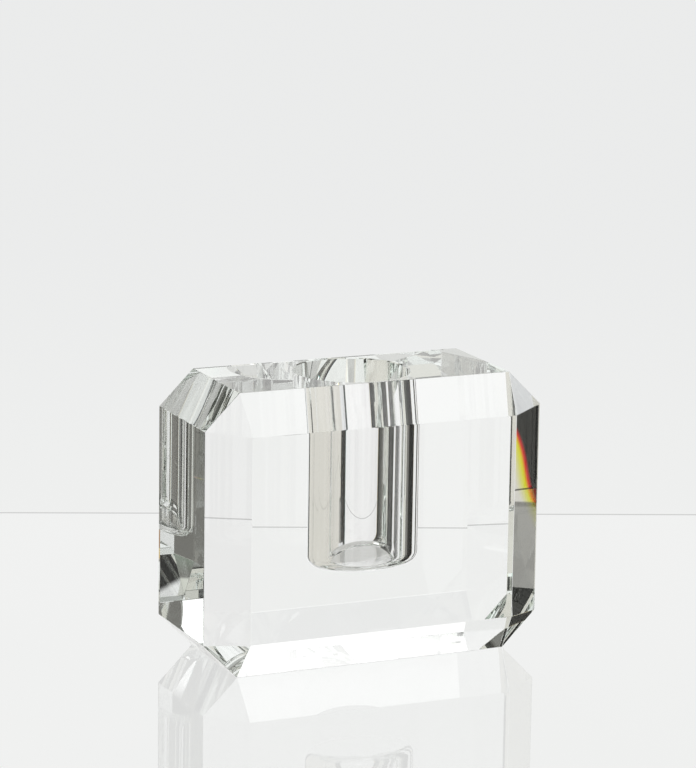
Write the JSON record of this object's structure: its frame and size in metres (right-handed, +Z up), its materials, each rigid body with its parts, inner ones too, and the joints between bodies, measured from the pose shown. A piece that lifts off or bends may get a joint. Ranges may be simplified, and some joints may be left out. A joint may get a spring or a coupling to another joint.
{
  "type": "cut crystal vase",
  "caption": "Solid clear crystal block vase, cut like an emerald-cut stone standing on its long side, with a round flower bore in the top.",
  "frame": {"origin": "centre of the flat base, on the surface that the vase stands on", "axes": "+Z up along the bore, +X along the width, +Y from the front face to the back face"},
  "size_m": [0.152, 0.073, 0.12],
  "materials": {
    "crystal": "optically clear crystal, every facet and the bore polished bright"
  },
  "bodies": {
    "root": {"crystal_block": "crystal"}
  },
  "joints": []
}
